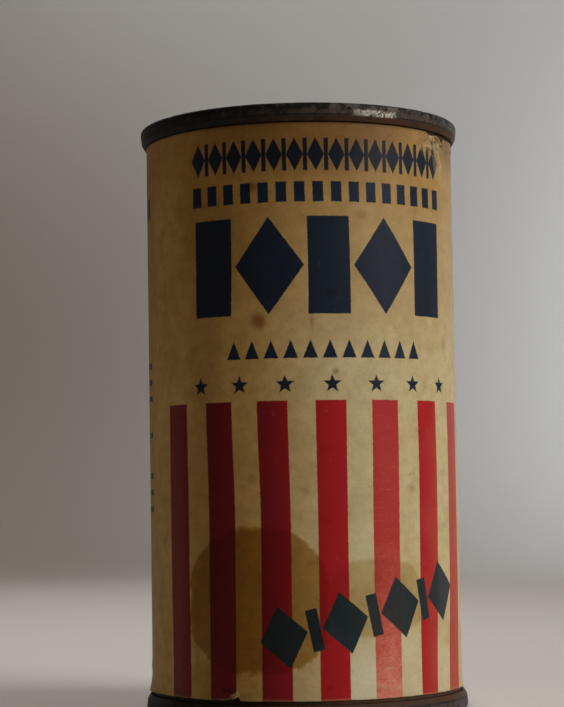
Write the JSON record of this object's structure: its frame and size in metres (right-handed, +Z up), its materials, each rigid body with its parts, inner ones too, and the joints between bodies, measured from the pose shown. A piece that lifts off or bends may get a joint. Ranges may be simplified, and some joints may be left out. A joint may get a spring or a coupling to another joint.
{
  "type": "milk powder tin",
  "caption": "Shut round steel tin of milk powder with rolled end seams and an aged paper label printed with stripes and stars.",
  "frame": {"origin": "middle of the foot, on the plane that the tin stands on", "axes": "+Z up the tin's axis, -Y out of the middle of the label's front, +X to the right as the front is faced"},
  "size_m": [0.0684, 0.0684, 0.1238],
  "materials": {
    "tinplate": "dull, spotted with rust",
    "rusted_tinplate": "dark rust with bare worn metal on the seam",
    "printed_paper": "coated paper, yellowed and stained, with a soft sheen"
  },
  "bodies": {
    "root": {"tin_body": "tinplate", "top_end": "rusted_tinplate", "bottom_end": "rusted_tinplate", "paper_label": "printed_paper"}
  },
  "joints": []
}
